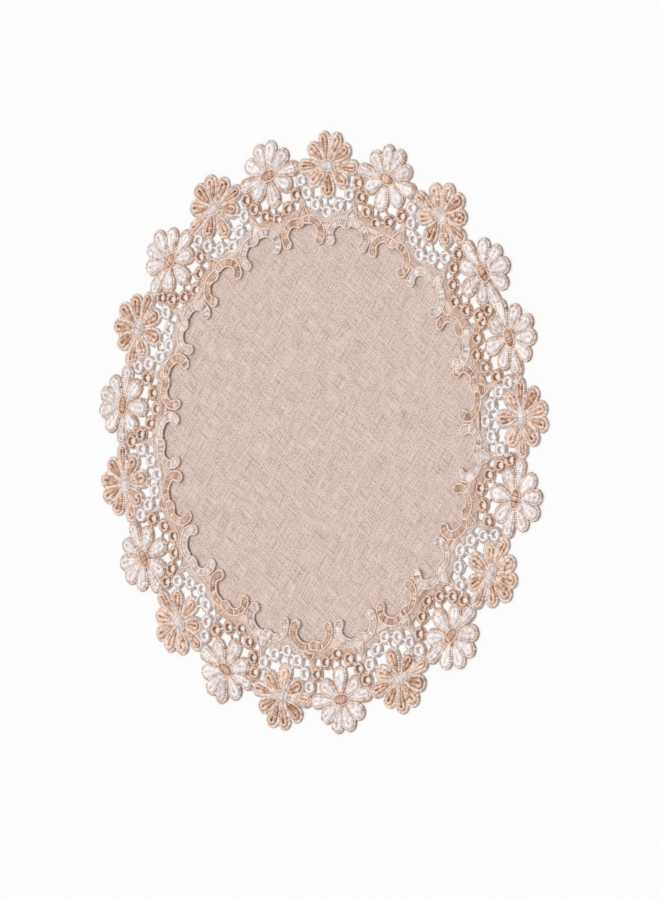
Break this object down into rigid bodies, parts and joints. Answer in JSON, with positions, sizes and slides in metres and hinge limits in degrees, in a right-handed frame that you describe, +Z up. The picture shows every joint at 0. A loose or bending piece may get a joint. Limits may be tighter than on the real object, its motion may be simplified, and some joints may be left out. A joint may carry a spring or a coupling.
{
  "type": "lace doily",
  "caption": "Round flat doily with a linen centre and a wide openwork border of raised daisies, small rings and scrolls.",
  "frame": {"origin": "middle of the linen's flat underside, on the surface that the doily lies on", "axes": "+Z up out of the surface; +Y towards the doily's top as it is shown, with the seam of the border 60 degrees clockwise of it"},
  "size_m": [0.3937, 0.394, 0.0033],
  "materials": {
    "linen": "slubby plain weave, matt",
    "tan_thread": "satin stitch, soft sheen",
    "white_thread": "satin stitch, soft sheen"
  },
  "bodies": {
    "root": {"linen_centre": "linen", "lace_border": "tan_thread"}
  },
  "joints": []
}
